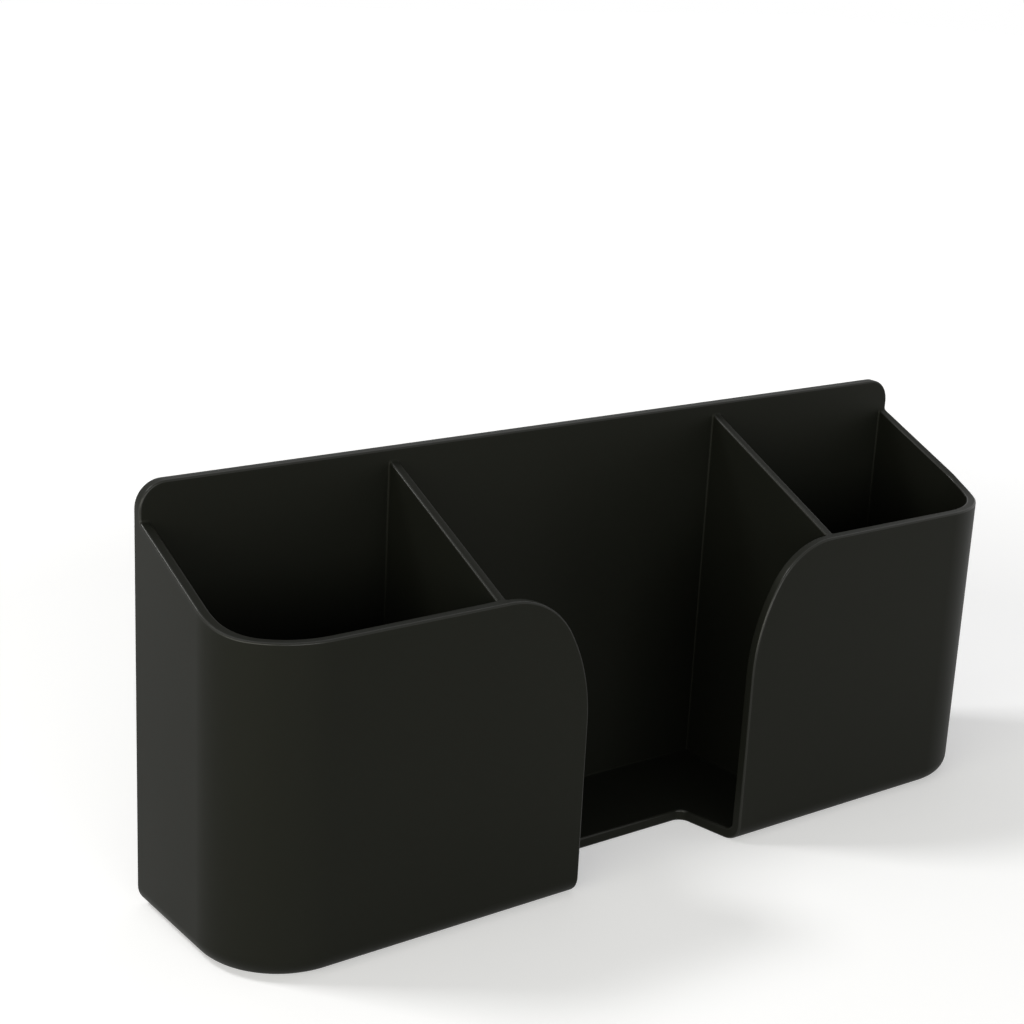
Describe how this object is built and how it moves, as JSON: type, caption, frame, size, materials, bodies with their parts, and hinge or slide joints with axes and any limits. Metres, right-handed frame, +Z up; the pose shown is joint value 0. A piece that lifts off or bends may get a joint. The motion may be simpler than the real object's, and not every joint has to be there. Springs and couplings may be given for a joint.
{
  "type": "remote control holder",
  "caption": "Open wall or desk holder with side pockets for remote controls, a wide middle pocket with a front gap for a phone, sloping rims and a notch in the floor.",
  "frame": {"origin": "the middle of the holder's width and depth, at the height of its foot", "axes": "+X along the width, +Y towards the flat wall face, +Z up"},
  "size_m": [0.19, 0.041, 0.0835],
  "materials": {
    "black_plastic": "fine matte"
  },
  "bodies": {
    "root": {"holder": "black_plastic"}
  },
  "joints": []
}
